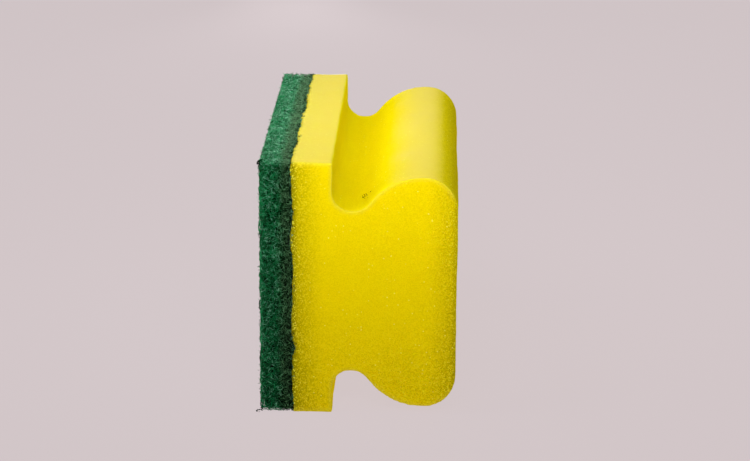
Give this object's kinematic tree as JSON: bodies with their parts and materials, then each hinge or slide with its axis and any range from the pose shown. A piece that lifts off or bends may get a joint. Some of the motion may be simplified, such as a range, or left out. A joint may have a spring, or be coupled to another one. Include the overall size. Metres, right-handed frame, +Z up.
{
  "type": "cleaning sponge",
  "caption": "Profiled yellow foam sponge with a finger groove along each long side and a green fibre scouring pad glued to its flat face.",
  "frame": {"origin": "under the middle of the overall box, on the surface that the sponge stands on", "axes": "+X from the scouring pad towards the foam's flat back, +Y along the sponge, +Z up across its width"},
  "size_m": [0.049, 0.095, 0.065],
  "materials": {
    "scouring_pad": "open nonwoven web of resin-bonded green fibres, matt and frayed at its cut edges",
    "glue_seam": "dark green-black glue soaked into the fibres, matt, with a ragged edge",
    "foam_body": "fine open-cell yellow foam, matt, with tiny glistening cell walls"
  },
  "bodies": {
    "root": {"scouring_pad": "scouring_pad", "glue_seam": "glue_seam", "foam_body": "foam_body"}
  },
  "joints": []
}
